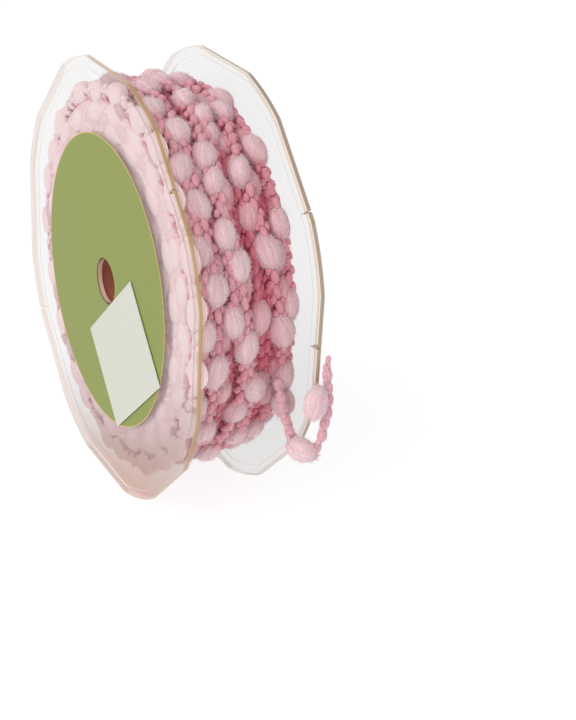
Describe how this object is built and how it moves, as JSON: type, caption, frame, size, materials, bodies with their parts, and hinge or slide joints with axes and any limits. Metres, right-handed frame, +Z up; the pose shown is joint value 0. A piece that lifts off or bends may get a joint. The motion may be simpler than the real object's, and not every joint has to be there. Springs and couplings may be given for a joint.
{
  "type": "pompom trim wound on a clear plastic spool",
  "caption": "Chain-stitched cord with brushed oval pompoms, wound on a clear flanged spool that stands on its rim; the cut end is caught in the rim.",
  "frame": {"origin": "under the middle of the spool, on the surface that its rims stand on", "axes": "+X along the spool's axis, away from the side with the round label; +Z up"},
  "size_m": [0.0584, 0.1913, 0.18],
  "materials": {
    "clear_plastic": "clear moulded polystyrene, glossy",
    "hub_plastic": "clear moulded polystyrene, in shade",
    "green_paper": "matt coated label paper",
    "white_paper": "matt label paper",
    "pink_yarn": "brushed polyester yarn"
  },
  "bodies": {
    "root": {"near_flange": "clear_plastic", "far_flange": "clear_plastic", "hub_tube": "hub_plastic", "round_label": "green_paper", "label_slip": "white_paper", "trim_roll": "pink_yarn", "tail_cord_a": "pink_yarn", "tail_pompom_a": "pink_yarn", "tail_cord_b": "pink_yarn", "tail_pompom_b": "pink_yarn"}
  },
  "joints": []
}
